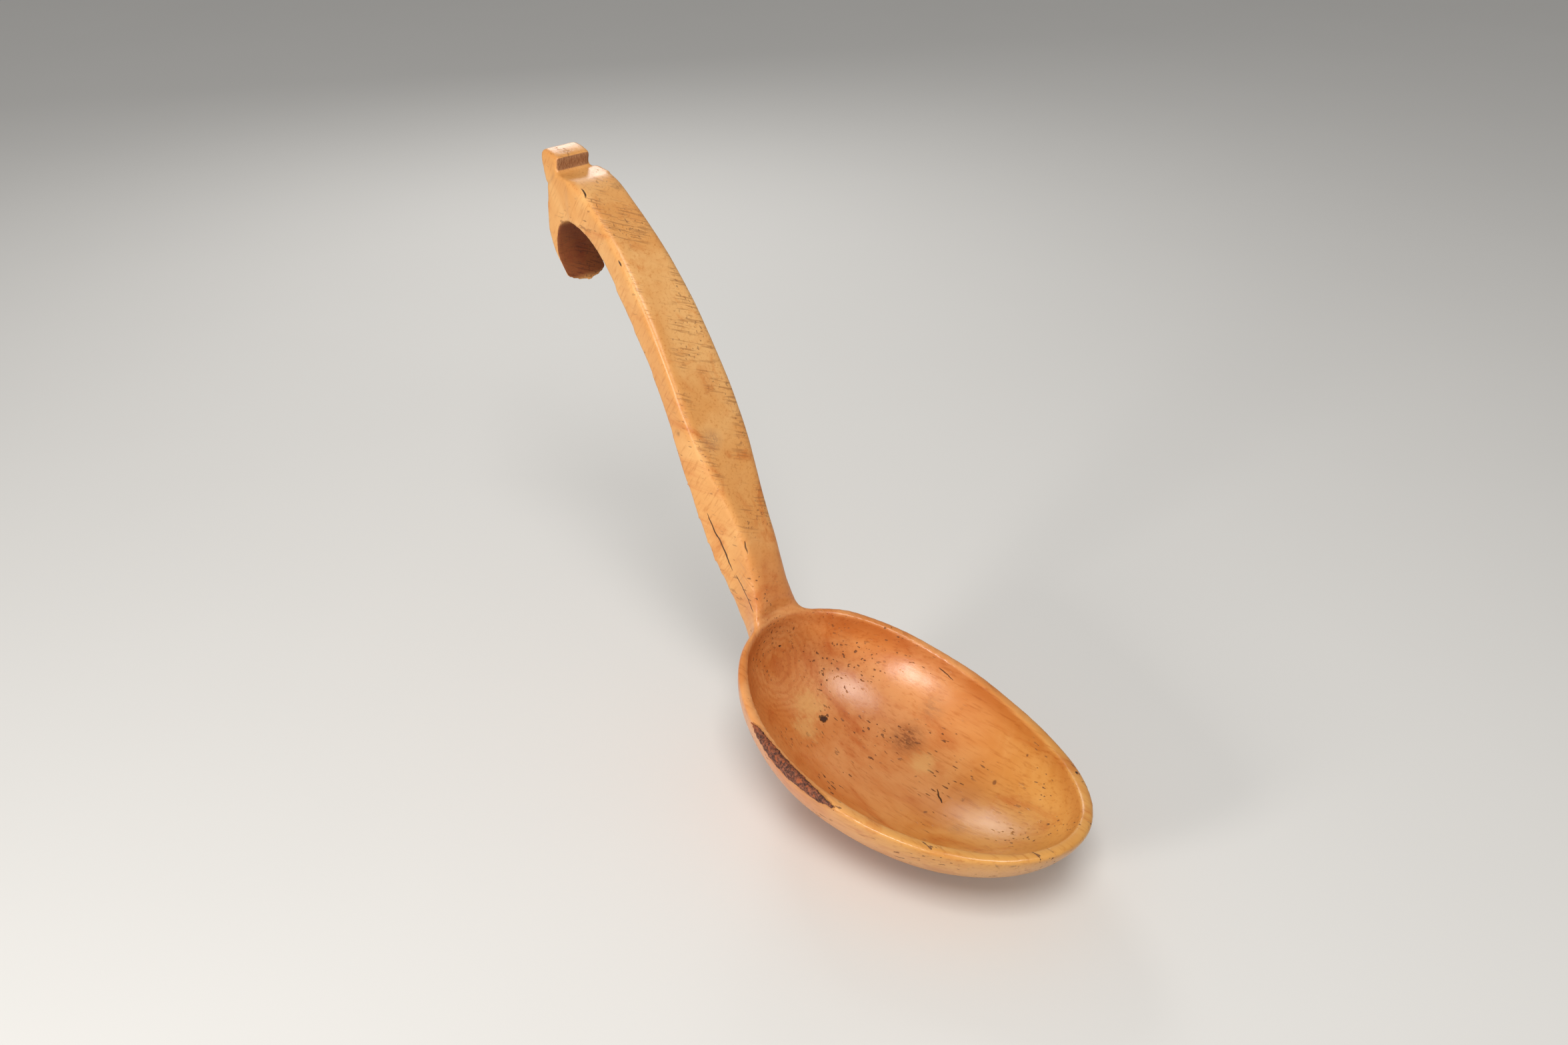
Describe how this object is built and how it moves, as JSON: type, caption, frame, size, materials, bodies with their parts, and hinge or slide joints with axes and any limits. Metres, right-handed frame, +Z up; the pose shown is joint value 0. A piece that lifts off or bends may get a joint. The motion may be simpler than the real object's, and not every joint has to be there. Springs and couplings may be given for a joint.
{
  "type": "carved wooden ladle with hanging hook",
  "caption": "Hand-carved oiled wooden ladle: egg-shaped bowl, stout handle bent over backwards, sawn head block and a broad hanging hook.",
  "frame": {"origin": "seat of the hook: the middle of the arch where a vessel's rim bears when the ladle hangs", "axes": "+X from the hook towards the tip of the bowl, +Z up with the hook's plate upright, +Y across the width, away from the bark"},
  "size_m": [0.2815, 0.0955, 0.212],
  "materials": {
    "wood": "satin",
    "bark": "matte"
  },
  "bodies": {
    "root": {"bowl": "wood", "bark_remnant": "bark", "handle": "wood", "hook": "wood", "head_block": "wood"}
  },
  "joints": []
}
